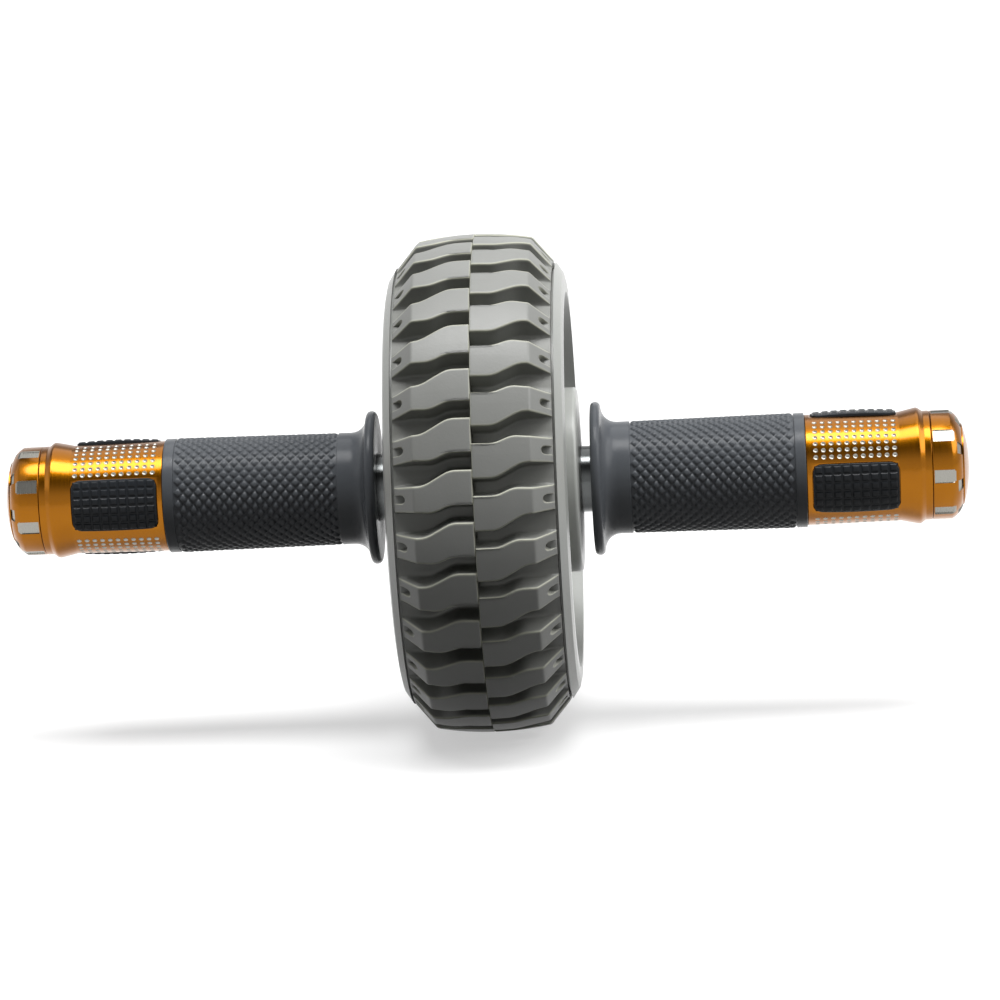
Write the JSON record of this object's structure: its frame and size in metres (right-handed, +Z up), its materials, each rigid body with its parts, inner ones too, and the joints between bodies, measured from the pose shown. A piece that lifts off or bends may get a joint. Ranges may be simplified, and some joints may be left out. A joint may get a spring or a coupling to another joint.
{
  "type": "ab wheel roller",
  "caption": "Lugged rubber wheel on a steel axle with ball bearings, and a flanged rubber grip with a gold anodised end on each side, rolled on the floor for abdominal exercise.",
  "frame": {"origin": "centre of the wheel, on the axle's axis and in the seam plane of the tyre", "axes": "+X along the axle to the right-hand handle, +Z up, -Y towards the viewer"},
  "size_m": [0.3192, 0.165, 0.165],
  "materials": {
    "tread_rubber": "matte moulded rubber",
    "rim_plastic": "satin",
    "grip_rubber": "knurled, matte",
    "pad_rubber": "matte",
    "core_plastic": "moulded",
    "gold_aluminium": "gold anodised",
    "axle_chrome": "polished",
    "bearing_steel": "ground",
    "plain_steel": "zinc plated"
  },
  "bodies": {
    "axle_and_handles": {"axle_tube": "axle_chrome", "bearing_spacer": "plain_steel", "retaining_ring_left": "plain_steel", "retaining_ring_right": "plain_steel", "bearing_inner_ring_left": "bearing_steel", "bearing_inner_ring_right": "bearing_steel", "axle_plug_left": "plain_steel", "axle_plug_right": "plain_steel", "handle_screw_left": "plain_steel", "handle_screw_right": "plain_steel", "handle_washer_left": "plain_steel", "handle_washer_right": "plain_steel", "grip_core_left": "core_plastic", "grip_core_right": "core_plastic", "grip_sleeve_left": "grip_rubber", "grip_sleeve_right": "grip_rubber", "end_body_left": "gold_aluminium", "end_body_right": "gold_aluminium", "grip_pads_left": "pad_rubber", "grip_pads_right": "pad_rubber", "end_cap_left": "gold_aluminium", "end_cap_right": "gold_aluminium", "end_button_left": "gold_aluminium", "end_button_right": "gold_aluminium"},
    "wheel": {"tyre_half_left": "tread_rubber", "tyre_half_right": "tread_rubber", "rim_half_left": "rim_plastic", "rim_half_right": "rim_plastic", "rim_screws": "plain_steel", "hub_cap_left": "rim_plastic", "hub_cap_right": "rim_plastic", "bearing_outer_ring_left": "bearing_steel", "bearing_outer_ring_right": "bearing_steel", "bearing_shields_left": "bearing_steel", "bearing_shields_right": "bearing_steel"},
    "ball_set_left": {"bearing_balls_left": "bearing_steel", "bearing_cage_left": "bearing_steel"},
    "ball_set_right": {"bearing_balls_right": "bearing_steel", "bearing_cage_right": "bearing_steel"}
  },
  "joints": [
    {"name": "wheel_spin", "type": "hinge", "parent": "axle_and_handles", "child": "wheel", "pos_m": [0, 0, 0], "axis": [1, 0, 0], "continuous": true},
    {"name": "ball_set_spin_left", "type": "hinge", "parent": "axle_and_handles", "child": "ball_set_left", "pos_m": [-0.023, 0, 0], "axis": [1, 0, 0], "continuous": true},
    {"name": "ball_set_spin_right", "type": "hinge", "parent": "axle_and_handles", "child": "ball_set_right", "pos_m": [0.023, 0, 0], "axis": [1, 0, 0], "continuous": true}
  ],
  "couplings": [
    {"joint": "ball_set_spin_left", "follows": "wheel_spin", "ratio": 0.60818},
    {"joint": "ball_set_spin_right", "follows": "wheel_spin", "ratio": 0.60818}
  ]
}
